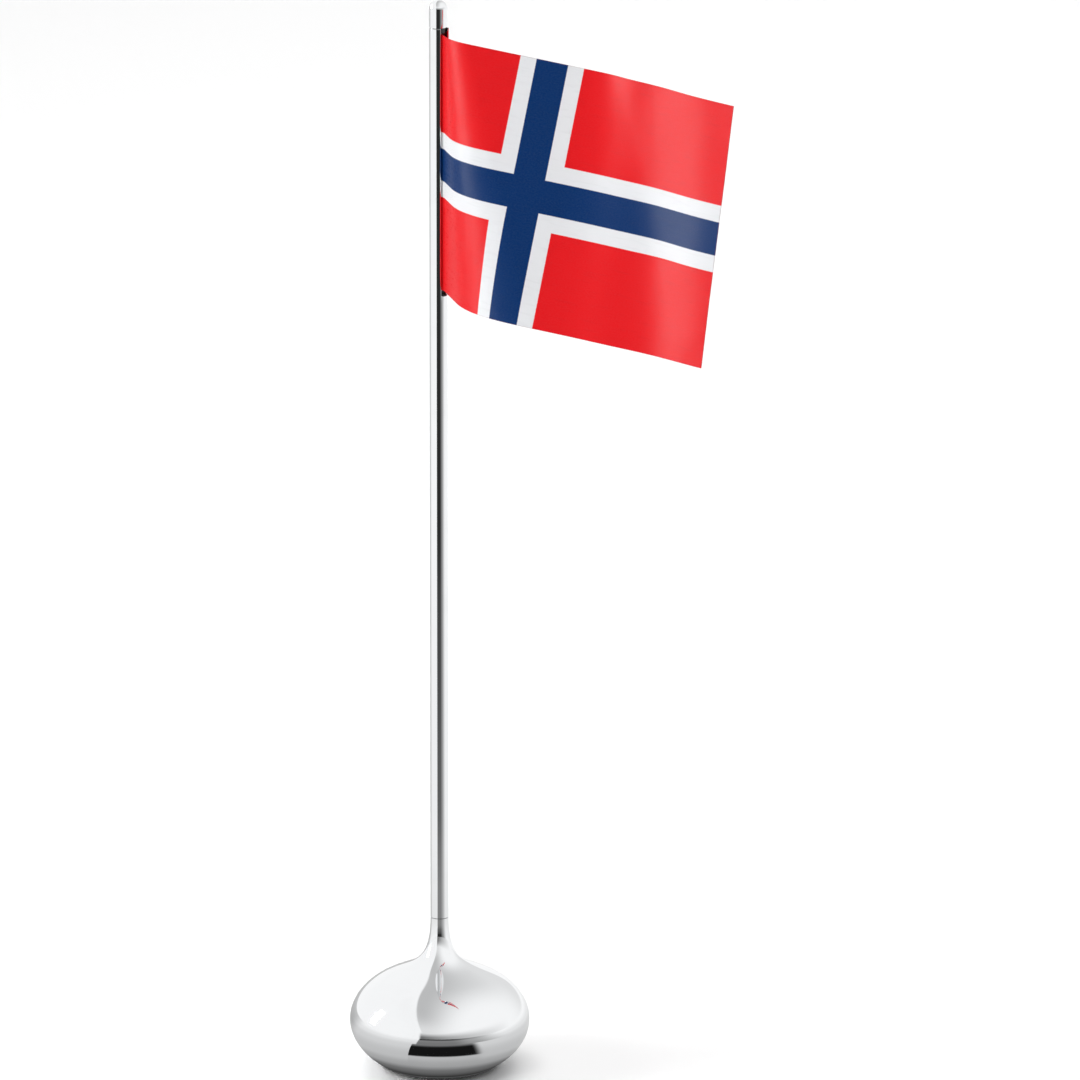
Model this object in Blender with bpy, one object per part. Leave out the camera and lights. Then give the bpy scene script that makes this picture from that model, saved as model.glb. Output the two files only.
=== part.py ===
"""Desk flag stand: a chromed drop base, a slotted tube pole, a cap with a hoist rod and a satin flag.

Metres, +Z up. The origin is the centre of the foot pad's underside, on the pole's axis.
Headings are angles round the pole from +X, which is the way the flag flies.
"""

import math

import bmesh
import bpy
from mathutils import Matrix, Vector
from mathutils.geometry import interpolate_bezier

MM = 0.001

# Clearances
GAP = 0.3 * MM  # between pieces that touch on the real object
SEAM = 0.15 * MM  # butt joints that show as a fine line
RUNNING_FIT = 0.08 * MM  # radial, for what slides or turns
PRESSED_FIT = 0.15 * MM  # radial, drawn open where the real plug is pressed in

# Driving dimensions
OVERALL_HEIGHT = 350.0 * MM
POLE_RADIUS = 2.85 * MM
POLE_WALL = 0.5 * MM
EDGE_BREAK = 0.1 * MM  # chamfer on small turned pieces

PAD_RADIUS = 13.4 * MM
PAD_THICKNESS = 1.2 * MM

BASE_RADIUS = 28.55 * MM  # widest ring of the drop
BASE_HALF_DEPTH = 18.5 * MM  # vertical half axis of the drop's ellipse
BASE_WIDEST_Z = 15.7 * MM
BASE_TOP_Z = 49.5 * MM  # where the neck meets the tube
FLARE_FOOT_Z = 30.5 * MM  # where the ellipse turns into the neck's flare
FLARE_PULL = 9.7 * MM  # length of the flare's lower curve handle
NECK_PULL = 15.1 * MM  # length of its upper one
RIM_ROUND = 0.5 * MM
CORE_RADIUS = 12.8 * MM  # hollow that takes the ballast
CORE_TOP_Z = 27.0 * MM

PLATE_THICKNESS = 1.4 * MM
BALLAST_CHAMFER = 0.8 * MM
STUD_RADIUS = 1.5 * MM
STUD_CLEARANCE = 0.2 * MM
STUD_REACH = 8.5 * MM  # how far the stud goes into the pole insert
STUD_TAIL = 0.8 * MM  # thread left below the nut
STUD_CHAMFER = 0.4 * MM
INSERT_LENGTH = 12.0 * MM
NUT_ACROSS_FLATS = 5.5 * MM
NUT_HEIGHT = 2.4 * MM
NUT_CHAMFER = 0.3 * MM
WASHER_RADIUS = 3.5 * MM
WASHER_THICKNESS = 0.5 * MM
SPRING_WASHER_RADIUS = 3.1 * MM
SPRING_WASHER_WIRE = 0.8 * MM
SPRING_WASHER_RISE = 0.45 * MM
SPRING_WASHER_SWEEP = math.radians(348.0)
POCKET_MARGIN = 1.0 * MM  # room for a socket key round the nut

CAP_LENGTH = 8.75 * MM
CAP_DOME_HEIGHT = 2.7 * MM
CAP_WALL = 0.45 * MM
PLUG_SHOULDER = 1.6 * MM  # length of the plug's part that sits in the tube
ROD_RADIUS = 0.9 * MM
ROD_CHAMFER = 0.25 * MM
ROD_GRIP = 5.0 * MM  # how far the rod is pressed into the plug
SOCKET_LENGTH = 7.0 * MM
SOCKET_DEPTH = 5.0 * MM

SLOT_NEAR_LIP = math.radians(-40.0)
SLOT_FAR_LIP = math.radians(26.0)
SLOT_BELOW_FLAG = 2.0 * MM

FLAG_UNIT = 5.25 * MM  # the cross pattern is laid out in these
FLAG_FLY = 22.0 * FLAG_UNIT
FLAG_HOIST = 15.8 * FLAG_UNIT
FLAG_THICKNESS = 0.25 * MM
FLAG_HEADING = math.radians(-27.0)  # the way the cloth leaves the slot
FLAG_EDGE = 2.15 * MM  # radius where the printed area starts
SLEEVE_WALL = 0.3 * MM

# A fold is a fan of straight creases: where its first and last crease meet the top edge, where
# they meet the bottom edge, its turn and its number of creases
LIP_BEND = (1.2 * MM, 2.2 * MM, 1.2 * MM, 2.2 * MM, math.radians(-15.0), 3)
HOIST_CURL = (2.4 * MM, 15.0 * MM, 16.8 * MM, 52.8 * MM, math.radians(59.8), 16)
FLY_WAVE = (52.0 * MM, 65.5 * MM, 53.0 * MM, 116.0 * MM, math.radians(-29.0), 12)

BASE_STEPS = 64
POLE_STEPS = 64
SMALL_STEPS = 32
FLARE_POINTS = 14
DROP_POINTS = 20
DOME_POINTS = 7
SMOOTH_BELOW = math.radians(35.0)
WELD = 1e-7

# Heights and radii that follow from the sizes above
POLE_BORE = POLE_RADIUS - POLE_WALL
POLE_FOOT_Z = BASE_TOP_Z + SEAM
CAP_FOOT_Z = OVERALL_HEIGHT - CAP_LENGTH
POLE_TOP_Z = CAP_FOOT_Z - SEAM
FIXED_RADIUS = POLE_BORE - PRESSED_FIT

RIM_Z = PAD_THICKNESS + GAP
PLATE_TOP_Z = RIM_Z + PLATE_THICKNESS
BALLAST_FOOT_Z = PLATE_TOP_Z + GAP
BALLAST_TOP_Z = CORE_TOP_Z - GAP
FILLING_RADIUS = CORE_RADIUS - GAP
STUD_BORE = STUD_RADIUS + STUD_CLEARANCE
STUD_FOOT_Z = BALLAST_FOOT_Z + GAP
NUT_FOOT_Z = STUD_FOOT_Z + STUD_TAIL
SPRING_FOOT_Z = NUT_FOOT_Z + NUT_HEIGHT + GAP
WASHER_FOOT_Z = SPRING_FOOT_Z + SPRING_WASHER_WIRE + SPRING_WASHER_RISE + GAP
POCKET_TOP_Z = WASHER_FOOT_Z + WASHER_THICKNESS + GAP
POCKET_RADIUS = WASHER_RADIUS + POCKET_MARGIN
INSERT_FOOT_Z = POLE_FOOT_Z + GAP
STUD_TOP_Z = INSERT_FOOT_Z + STUD_REACH

PLUG_FOOT_Z = POLE_TOP_Z - PLUG_SHOULDER
PLUG_STEM_RADIUS = POLE_RADIUS - CAP_WALL - GAP
PLUG_TOP_Z = OVERALL_HEIGHT - CAP_DOME_HEIGHT
ROD_TOP_Z = PLUG_FOOT_Z + ROD_GRIP
FLAG_TOP_Z = PLUG_FOOT_Z - GAP
FLAG_FOOT_Z = FLAG_TOP_Z - FLAG_HOIST
SLOT_FOOT_Z = FLAG_FOOT_Z - SLOT_BELOW_FLAG
SOCKET_TOP_Z = SLOT_FOOT_Z - SEAM
SOCKET_FLOOR_Z = SOCKET_TOP_Z - SOCKET_DEPTH
ROD_BORE = ROD_RADIUS + RUNNING_FIT


def clear_scene():
    for obj in list(bpy.data.objects):
        bpy.data.objects.remove(obj)


def finish(name, colour, roughness, metallic):
    material = bpy.data.materials.new(name)
    material.use_nodes = True
    shader = material.node_tree.nodes["Principled BSDF"]
    shader.inputs["Base Color"].default_value = (*colour, 1.0)
    shader.inputs["Roughness"].default_value = roughness
    shader.inputs["Metallic"].default_value = metallic
    return material


def chrome(name):
    return finish(name, (0.86, 0.87, 0.88), 0.05, 1.0)


def zinc_plate(name):
    return finish(name, (0.56, 0.57, 0.58), 0.32, 1.0)


def black_plastic(name):
    return finish(name, (0.012, 0.012, 0.013), 0.4, 0.0)


def add_object(name, bm, material=None):
    """Turns a bmesh into an object of the scene, shaded smooth except at its sharp edges."""
    bmesh.ops.recalc_face_normals(bm, faces=bm.faces)
    mesh = bpy.data.meshes.new(name)
    bm.to_mesh(mesh)
    bm.free()
    mesh.shade_smooth()
    mesh.set_sharp_from_angle(angle=SMOOTH_BELOW)
    if material:
        mesh.materials.append(material)
    obj = bpy.data.objects.new(name, mesh)
    bpy.context.scene.collection.objects.link(obj)
    return obj


def combine(obj, tool, operation):
    """Adds a Boolean with a tool object, which leaves the render."""
    tool.hide_render = True
    tool.display_type = "WIRE"
    modifier = obj.modifiers.new(tool.name, "BOOLEAN")
    modifier.operation = operation
    modifier.solver = "EXACT"
    modifier.object = tool


def spun(outline, steps, sweep=2 * math.pi, rise=0.0):
    """Spins a (radius, height) outline about Z. One that starts or ends off the axis is a loop."""
    bm = bmesh.new()
    points = [bm.verts.new((radius, 0.0, z)) for radius, z in outline]
    pairs = list(zip(points, points[1:]))
    if outline[0][0] > 0:
        pairs.append((points[-1], points[0]))
    edges = [bm.edges.new(pair) for pair in pairs]
    whole = sweep >= 2 * math.pi
    bmesh.ops.spin(
        bm, geom=points + edges, axis=(0, 0, 1), cent=(0, 0, 0), dvec=(0, 0, rise / steps),
        angle=sweep, steps=steps, use_merge=whole, use_duplicate=False,
    )
    if not whole:
        bmesh.ops.holes_fill(bm, edges=[edge for edge in bm.edges if edge.is_boundary], sides=0)
    bmesh.ops.remove_doubles(bm, verts=bm.verts, dist=WELD)
    return bm


def turned(name, outline, material=None, steps=SMALL_STEPS):
    return add_object(name, spun(outline, steps), material)


def prism(name, corners, foot, top, material=None):
    """A vertical prism on a list of (x, y) corners."""
    bm = bmesh.new()
    base = bm.faces.new([bm.verts.new((x, y, foot)) for x, y in corners])
    grown = bmesh.ops.extrude_face_region(bm, geom=[base])["geom"]
    bmesh.ops.translate(
        bm, vec=(0, 0, top - foot), verts=[item for item in grown if isinstance(item, bmesh.types.BMVert)]
    )
    return add_object(name, bm, material)


def disc_outline(radius, foot, top, edge):
    return [
        (0.0, foot), (radius - edge, foot), (radius, foot + edge),
        (radius, top - edge), (radius - edge, top), (0.0, top),
    ]


def ring_outline(bore, radius, foot, top, edge):
    return [
        (bore, foot), (radius - edge, foot), (radius, foot + edge),
        (radius, top - edge), (radius - edge, top), (bore, top),
    ]


def bored_from_top(radius, foot, top, bore, floor, edge):
    solid = disc_outline(radius, foot, top, edge)
    return solid[:-1] + [(bore, top), (bore, floor), (0.0, floor)]


def bored_from_foot(radius, foot, top, bore, ceiling, edge):
    solid = disc_outline(radius, foot, top, edge)
    return [(0.0, ceiling), (bore, ceiling), (bore, foot)] + solid[1:]


def drop_point(angle):
    """A point on the drop's ellipse, by its parametric angle above the widest ring."""
    return Vector((
        BASE_RADIUS * math.cos(angle), BASE_WIDEST_Z + BASE_HALF_DEPTH * math.sin(angle)
    ))


def drop_angle(z):
    return math.asin((z - BASE_WIDEST_Z) / BASE_HALF_DEPTH)


def drop_outline():
    """The outside of the base from the neck's top down to its rim."""
    start, end = drop_angle(FLARE_FOOT_Z), drop_angle(RIM_Z + RIM_ROUND)
    foot = drop_point(start)
    uphill = Vector((-BASE_RADIUS * math.sin(start), BASE_HALF_DEPTH * math.cos(start))).normalized()
    neck = Vector((POLE_RADIUS, BASE_TOP_Z))
    flare = interpolate_bezier(
        neck.to_3d(), (neck - Vector((0, NECK_PULL))).to_3d(),
        (foot + FLARE_PULL * uphill).to_3d(), foot.to_3d(), FLARE_POINTS,
    )
    steps = [start + (end - start) * (i + 1) / DROP_POINTS for i in range(DROP_POINTS)]
    return [tuple(point.xy) for point in flare] + [tuple(drop_point(angle)) for angle in steps]


def make_base():
    outside = drop_outline()
    rim_radius = outside[-1][0] - RIM_ROUND
    inside = [
        (rim_radius, RIM_Z), (CORE_RADIUS, RIM_Z), (CORE_RADIUS, CORE_TOP_Z),
        (STUD_BORE, CORE_TOP_Z), (STUD_BORE, BASE_TOP_Z),
    ]
    turned("base_shell", outside + inside, chrome("base_chrome"), BASE_STEPS)
    turned(
        "foot_pad", disc_outline(PAD_RADIUS, 0.0, PAD_THICKNESS, EDGE_BREAK),
        finish("pad_rubber", (0.02, 0.02, 0.021), 0.85, 0.0), BASE_STEPS,
    )
    turned(
        "base_plate", disc_outline(FILLING_RADIUS, RIM_Z, PLATE_TOP_Z, EDGE_BREAK),
        finish("plate_paint", (0.03, 0.03, 0.032), 0.55, 0.0), BASE_STEPS,
    )
    ballast = disc_outline(FILLING_RADIUS, BALLAST_FOOT_Z, BALLAST_TOP_Z, BALLAST_CHAMFER)
    bores = [
        (STUD_BORE, BALLAST_TOP_Z), (STUD_BORE, POCKET_TOP_Z),
        (POCKET_RADIUS, POCKET_TOP_Z), (POCKET_RADIUS, BALLAST_FOOT_Z),
    ]
    iron = finish("cast_iron", (0.1, 0.1, 0.105), 0.6, 0.8)
    turned("ballast_weight", ballast[1:-1] + bores, iron, BASE_STEPS)


def make_fixings():
    turned(
        "pole_stud", disc_outline(STUD_RADIUS, STUD_FOOT_Z, STUD_TOP_Z, STUD_CHAMFER), zinc_plate("stud_zinc")
    )
    turned(
        "ballast_washer",
        ring_outline(STUD_BORE, WASHER_RADIUS, WASHER_FOOT_Z, WASHER_FOOT_Z + WASHER_THICKNESS, EDGE_BREAK),
        zinc_plate("washer_zinc"),
    )
    spring = ring_outline(
        STUD_BORE, SPRING_WASHER_RADIUS, SPRING_FOOT_Z, SPRING_FOOT_Z + SPRING_WASHER_WIRE, EDGE_BREAK
    )
    coil = spun(spring, SMALL_STEPS, SPRING_WASHER_SWEEP, SPRING_WASHER_RISE)
    add_object("spring_washer", coil, zinc_plate("spring_washer_zinc"))
    make_nut()


def make_nut():
    corner = NUT_ACROSS_FLATS / math.sqrt(3)
    turns = [math.radians(60 * i) for i in range(6)]
    top = NUT_FOOT_Z + NUT_HEIGHT
    nut = prism(
        "stud_nut", [(corner * math.cos(turn), corner * math.sin(turn)) for turn in turns],
        NUT_FOOT_Z, top, zinc_plate("nut_zinc"),
    )
    combine(nut, turned("nut_chamfer", disc_outline(corner, NUT_FOOT_Z, top, NUT_CHAMFER)), "INTERSECT")
    bore = turned("nut_bore", disc_outline(STUD_BORE, NUT_FOOT_Z - GAP, top + GAP, EDGE_BREAK))
    combine(nut, bore, "DIFFERENCE")


def make_pole():
    tube = turned(
        "pole_tube", ring_outline(POLE_BORE, POLE_RADIUS, POLE_FOOT_Z, POLE_TOP_Z, EDGE_BREAK),
        chrome("pole_chrome"), POLE_STEPS,
    )
    reach = 2 * POLE_RADIUS
    headings = (SLOT_NEAR_LIP, (SLOT_NEAR_LIP + SLOT_FAR_LIP) / 2, SLOT_FAR_LIP)
    wedge = [(0.0, 0.0)] + [(reach * math.cos(turn), reach * math.sin(turn)) for turn in headings]
    combine(tube, prism("slot_cutter", wedge, SLOT_FOOT_Z, POLE_TOP_Z + GAP), "DIFFERENCE")
    turned(
        "pole_insert",
        bored_from_foot(
            FIXED_RADIUS, INSERT_FOOT_Z, INSERT_FOOT_Z + INSERT_LENGTH,
            STUD_BORE, STUD_TOP_Z + GAP, EDGE_BREAK,
        ),
        zinc_plate("insert_zinc"),
    )
    turned(
        "rod_socket",
        bored_from_top(
            FIXED_RADIUS, SOCKET_TOP_Z - SOCKET_LENGTH, SOCKET_TOP_Z, ROD_BORE, SOCKET_FLOOR_Z, EDGE_BREAK
        ),
        black_plastic("socket_black"),
    )


def dome_outline(radius, height, crown):
    """Quarter ellipse from the axis at the crown out to the full radius."""
    turns = [math.pi / 2 * i / DOME_POINTS for i in range(DOME_POINTS)]
    return [(radius * math.sin(turn), crown - height * (1 - math.cos(turn))) for turn in turns]


def make_cap():
    bore = POLE_RADIUS - CAP_WALL
    outer = dome_outline(POLE_RADIUS, CAP_DOME_HEIGHT, OVERALL_HEIGHT)
    inner = dome_outline(bore, CAP_DOME_HEIGHT - CAP_WALL, OVERALL_HEIGHT - CAP_WALL)
    wall = [
        (bore, PLUG_TOP_Z), (bore, CAP_FOOT_Z), (POLE_RADIUS - EDGE_BREAK, CAP_FOOT_Z),
        (POLE_RADIUS, CAP_FOOT_Z + EDGE_BREAK), (POLE_RADIUS, PLUG_TOP_Z),
    ]
    turned("cap_shell", inner + wall + outer[::-1], chrome("cap_chrome"), POLE_STEPS)
    shoulder = POLE_BORE - RUNNING_FIT
    rod_hole = ROD_RADIUS + PRESSED_FIT
    turned(
        "cap_plug",
        [
            (0.0, ROD_TOP_Z + GAP), (rod_hole, ROD_TOP_Z + GAP), (rod_hole, PLUG_FOOT_Z),
            (shoulder - EDGE_BREAK, PLUG_FOOT_Z), (shoulder, PLUG_FOOT_Z + EDGE_BREAK),
            (shoulder, POLE_TOP_Z), (PLUG_STEM_RADIUS, POLE_TOP_Z),
            (PLUG_STEM_RADIUS, PLUG_TOP_Z), (0.0, PLUG_TOP_Z),
        ],
        black_plastic("plug_black"),
    )
    turned(
        "hoist_rod", disc_outline(ROD_RADIUS, SOCKET_FLOOR_Z + GAP, ROD_TOP_Z, ROD_CHAMFER),
        finish("rod_steel", (0.45, 0.46, 0.47), 0.25, 1.0),
    )


def creases():
    """Every crease of the cloth, as its places on the top and bottom edges and its turn."""
    lines = []
    for top_start, top_end, foot_start, foot_end, turn, count in (LIP_BEND, HOIST_CURL, FLY_WAVE):
        for i in range(count):
            share = (i + 0.5) / count
            top = top_start + (top_end - top_start) * share
            foot = foot_start + (foot_end - foot_start) * share
            lines.append((top, foot, turn / count))
    return lines


def hang(along, drop, lines):
    """Where a point of the flat cloth goes once the cloth is folded along its creases."""
    point = Vector((FLAG_EDGE + along, 0.0, -drop))
    for top, foot, turn in reversed(lines):
        if along <= top + (foot - top) * drop / FLAG_HOIST:
            continue
        head = Vector((FLAG_EDGE + top, 0.0, 0.0))
        tail = Vector((FLAG_EDGE + foot, 0.0, -FLAG_HOIST))
        point = head + Matrix.Rotation(turn, 3, head - tail) @ (point - head)
    return Matrix.Rotation(FLAG_HEADING, 3, "Z") @ point + Vector((0.0, 0.0, FLAG_TOP_Z))


def make_flag():
    """One sheet with a column of faces between each two creases, joined to its sleeve."""
    lines = creases()
    sleeve_middle = ROD_BORE + SLEEVE_WALL / 2
    columns = [(sleeve_middle - FLAG_EDGE,) * 2] + [(top, foot) for top, foot, _ in lines] + [(FLAG_FLY,) * 2]
    bm = bmesh.new()
    top_row = [bm.verts.new(hang(top, 0.0, lines)) for top, _ in columns]
    foot_row = [bm.verts.new(hang(foot, FLAG_HOIST, lines)) for _, foot in columns]
    for corners in zip(top_row, top_row[1:], foot_row[1:], foot_row):
        bm.faces.new(corners)
    flag = add_object("flag_cloth", bm, finish("flag_satin", (0.75, 0.02, 0.03), 0.45, 0.0))
    solidify = flag.modifiers.new("cloth_thickness", "SOLIDIFY")
    solidify.thickness = FLAG_THICKNESS
    solidify.offset = 0.0
    solidify.use_even_offset = True
    sleeve = turned(
        "sleeve_guide", ring_outline(ROD_BORE, ROD_BORE + SLEEVE_WALL, FLAG_FOOT_Z, FLAG_TOP_Z, 0.0), None, 24
    )
    combine(flag, sleeve, "UNION")


def main():
    clear_scene()
    make_base()
    make_fixings()
    make_pole()
    make_cap()
    make_flag()


main()
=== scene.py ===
import math

import bmesh
import bpy
from bpy.props import FloatProperty, FloatVectorProperty, IntProperty, PointerProperty
from bpy.types import Operator, Panel, PropertyGroup
from mathutils import Matrix, Vector


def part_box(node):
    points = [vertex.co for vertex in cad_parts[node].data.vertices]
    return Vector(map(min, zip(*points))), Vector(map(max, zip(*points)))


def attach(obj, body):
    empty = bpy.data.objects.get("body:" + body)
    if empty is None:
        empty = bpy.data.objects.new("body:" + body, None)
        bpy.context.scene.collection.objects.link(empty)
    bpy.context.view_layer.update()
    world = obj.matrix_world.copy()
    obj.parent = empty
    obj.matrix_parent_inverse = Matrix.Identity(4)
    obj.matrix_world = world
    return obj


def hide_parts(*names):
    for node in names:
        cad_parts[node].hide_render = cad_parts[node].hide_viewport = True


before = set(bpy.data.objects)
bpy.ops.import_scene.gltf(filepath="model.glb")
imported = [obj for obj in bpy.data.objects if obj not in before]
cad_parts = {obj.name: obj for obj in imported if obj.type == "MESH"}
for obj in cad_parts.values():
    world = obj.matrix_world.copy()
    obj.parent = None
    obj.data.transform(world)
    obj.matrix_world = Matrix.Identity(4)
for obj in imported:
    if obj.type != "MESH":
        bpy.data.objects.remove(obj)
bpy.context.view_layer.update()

bl_info = {
    "name": "Desk flag stand",
    "version": (1, 0, 0),
    "blender": (4, 5, 0),
    "location": "3D View > Sidebar > Flag stand",
    "description": "Finishes a chromed desk flag stand with its pull-out cap and satin flag",
    "category": "Object",
}

MM = 0.001
TAU = 2 * math.pi
WELD_GAP = 0.001 * MM  # points nearer than this are one point

# The three bodies that the pieces ride on
STAND, CAP_AND_ROD, FLAG = "stand", "cap_and_rod", "flag"


def node_foot(node):
    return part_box(node)[0].z


def node_top(node):
    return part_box(node)[1].z


def node_radius(node):
    """Turned parts reach their full radius on the side away from the slot."""
    return -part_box(node)[0].x


# Sizes of the drop base that its box doesn't give
BASE_HALF_DEPTH = 18.5 * MM
BASE_WIDEST_Z = 15.7 * MM
FLARE_FOOT_Z = 30.5 * MM
RIM_ROUND = 0.5 * MM
CORE_RADIUS = 12.8 * MM
CORE_TOP_Z = 27.0 * MM
STUD_BORE = 1.7 * MM

# Sizes of the pole and the cap
POLE_RADIUS = node_radius("pole_tube")
POLE_FOOT_Z = node_foot("pole_tube")
POLE_TOP_Z = node_top("pole_tube")
POLE_WALL = 0.5 * MM
CAP_WALL = 0.45 * MM
CAP_DOME = 2.7 * MM
ROD_CHAMFER = 0.25 * MM
EDGE_BREAK = 0.1 * MM
SLOT_NEAR_LIP = math.radians(-40.0)
SLOT_FAR_LIP = math.radians(26.0)
SLOT_FOOT_Z = 254.25 * MM

# Sizes of the flag. A fold is a fan of straight creases: where its first and last crease meet the
# top edge, where they meet the bottom edge, its turn, and the number of creases
FLAG_UNIT = 5.25 * MM
FLAG_FLY = 22.0 * FLAG_UNIT
FLAG_HOIST = 15.8 * FLAG_UNIT
FLAG_TOP_Z = 339.2 * MM
FLAG_HEADING = math.radians(-27.0)
FLAG_EDGE = 2.15 * MM  # radius where the printed area starts
LIP_BEND = (1.2 * MM, 2.2 * MM, 1.2 * MM, 2.2 * MM, math.radians(-15.0), 8)
HOIST_CURL = (2.4 * MM, 15.0 * MM, 16.8 * MM, 52.8 * MM, math.radians(59.8), 56)
FLY_WAVE = (52.0 * MM, 65.5 * MM, 53.0 * MM, 116.0 * MM, math.radians(-29.0), 44)
SWELL_CREST = 83 * MM  # how far out the broad swell near the fly edge stands highest
SEAM_REACH = 1.9 * MM  # radius of the sleeve's seam
HEM_REACH = 2.25 * MM  # radius of the turned-in edge
SLEEVE_RADIUS = 1.13 * MM  # middle of the cloth round the rod
LAYER_GAP = 0.02 * MM  # between the two layers at the seam


def length_setting(name, default, description):
    return FloatProperty(name=name, description=description, default=default, unit="LENGTH", precision=5)


def share_setting(name, default, description):
    return FloatProperty(name=name, description=description, default=default, min=0.0, max=1.0)


def colour_setting(name, default, description):
    return FloatVectorProperty(
        name=name, description=description, default=default, subtype="COLOR", size=3, min=0.0, max=1.0
    )


def angle_setting(name, degrees, description):
    return FloatProperty(name=name, description=description, default=math.radians(degrees), subtype="ANGLE")


class ChromeSettings(PropertyGroup):
    """Shape and finish of the plated pieces."""

    neck_pull: length_setting("Neck pull", 15.1 * MM, "How far the neck stays slim below the tube")
    flare_pull: length_setting("Flare pull", 9.7 * MM, "How far the flare keeps the slope of the drop")
    lip_spread: length_setting("Lip spread", 0.5 * MM, "How far the slot's far lip stands open at the top")
    corner_round: length_setting("Slot corner", 0.6 * MM, "Radius of the two corners at the slot's foot")
    tint: colour_setting("Chrome tint", (0.86, 0.87, 0.88), "Colour of the plating")
    polish: share_setting("Polish roughness", 0.03, "Roughness of the plating where it is clean")
    smudge: share_setting("Smudges", 0.07, "Roughness that handling adds in patches")
    steps: IntProperty(name="Steps around", description="Faces round a turned piece", default=160, min=24)


class ClothSettings(PropertyGroup):
    """Cloth, print and sewing of the flag."""

    thickness: length_setting("Cloth thickness", 0.2 * MM, "Thickness of the satin")
    mesh_step: length_setting("Mesh step", 0.6 * MM, "Width of one face of the cloth")
    ripple: length_setting("Ripple", 0.1 * MM, "Height of the cloth's small unevenness")
    red: colour_setting("Red", (0.74, 0.008, 0.012), "Colour of the field")
    white: colour_setting("White", (0.76, 0.77, 0.79), "Colour of the cross's border")
    blue: colour_setting("Blue", (0.0006, 0.028, 0.128), "Colour of the cross")
    stitch_length: length_setting("Stitch length", 1.25 * MM, "Length of one stitch of the sleeve's seam")
    stitch_pitch: length_setting("Stitch pitch", 1.7 * MM, "Distance from one stitch to the next")
    thread_radius: length_setting("Thread radius", 0.07 * MM, "Radius of the sewing thread")


class StageSettings(PropertyGroup):
    """Floor, lights and camera."""

    floor_colour: colour_setting("Floor colour", (0.93, 0.93, 0.93), "Colour of the floor")
    room_light: FloatProperty(name="Room light", description="Brightness of the white room", default=1.05)
    fill_light: share_setting("Fill light", 0.45, "Share of the room light that lights matt surfaces")
    heading: angle_setting("Camera heading", 33.0, "Angle of the camera round the stand from the front")
    elevation: angle_setting("Camera elevation", 16.0, "Angle of the camera above the floor")
    distance: FloatProperty(
        name="Camera distance", description="From the camera to what it looks at", default=6.0, unit="LENGTH"
    )
    focal_length: FloatProperty(name="Focal length", description="Lens of the camera in mm", default=633.3)
    aim_out: length_setting("Aim outwards", 31.9 * MM, "How far from the pole the camera aims, to its right")
    aim_height: length_setting("Aim height", 173.95 * MM, "Height that the camera aims at")


class Wire:
    """A socket in an expression: each operator adds one Math node."""

    def __init__(self, graph, socket):
        self.graph = graph
        self.socket = socket

    def out(self, name):
        """Another output of the same node."""
        return Wire(self.graph, self.socket.node.outputs[name])

    def __add__(self, other):
        return self.graph.math("ADD", self, other)

    def __radd__(self, other):
        return self.graph.math("ADD", other, self)

    def __sub__(self, other):
        return self.graph.math("SUBTRACT", self, other)

    def __rsub__(self, other):
        return self.graph.math("SUBTRACT", other, self)

    def __mul__(self, other):
        return self.graph.math("MULTIPLY", self, other)

    def __rmul__(self, other):
        return self.graph.math("MULTIPLY", other, self)

    def __truediv__(self, other):
        return self.graph.math("DIVIDE", self, other)

    def __rtruediv__(self, other):
        return self.graph.math("DIVIDE", other, self)


class Graph:
    """A node tree that is being built."""

    def __init__(self, tree):
        self.tree = tree

    def add(self, kind, settings=None, inputs=None, output=0):
        """One node: its settings are set first, then the values or links of its sockets."""
        node = self.tree.nodes.new(kind)
        for name, value in (settings or {}).items():
            setattr(node, name, value)
        for name, value in (inputs or {}).items():
            if isinstance(value, Wire):
                self.tree.links.new(value.socket, node.inputs[name])
            else:
                node.inputs[name].default_value = value
        return Wire(self, node.outputs[output]) if node.outputs else None

    def math(self, operation, *values):
        return self.add("ShaderNodeMath", {"operation": operation}, dict(enumerate(values)))

    def vector(self, x, y, z):
        return self.add("ShaderNodeCombineXYZ", None, {"X": x, "Y": y, "Z": z})

    def parts(self, wire):
        xyz = self.add("ShaderNodeSeparateXYZ", None, {0: wire})
        return xyz, xyz.out("Y"), xyz.out("Z")

    def ramp(self, wire, low, high):
        """A smooth rise from 0 to 1 between two values of wire, level outside them."""
        return self.add(
            "ShaderNodeMapRange", {"interpolation_type": "SMOOTHSTEP"},
            {"Value": wire, "From Min": low, "From Max": high},
        )

    def mix(self, factor, first, second):
        """A mix of two colours."""
        return self.add("ShaderNodeMix", {"data_type": "RGBA"}, {0: factor, 6: first, 7: second}, 2)

    def noise(self, place, scale, detail=2.0, roughness=0.5):
        return self.add(
            "ShaderNodeTexNoise", None,
            {"Vector": place, "Scale": scale, "Detail": detail, "Roughness": roughness},
        )

    def stretched(self, place, x, y, z):
        return self.add("ShaderNodeMapping", None, {"Vector": place, "Scale": (x, y, z)})

    def bump(self, height, strength, distance):
        return self.add(
            "ShaderNodeBump", None, {"Height": height, "Strength": strength, "Distance": distance}
        )


def rgba(colour):
    return (*colour, 1.0)


# ---- materials


def new_material(name, base, roughness, metallic):
    """A material with one Principled shader, and the graph and place that its pattern starts from."""
    material = bpy.data.materials.new(name)
    material.use_nodes = True
    material.diffuse_color = rgba(base)
    graph = Graph(material.node_tree)
    shader = material.node_tree.nodes["Principled BSDF"]
    shader.inputs["Base Color"].default_value = rgba(base)
    shader.inputs["Roughness"].default_value = roughness
    shader.inputs["Metallic"].default_value = metallic
    place = graph.add("ShaderNodeTexCoord", output="Object")
    return material, graph, shader, place


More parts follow.
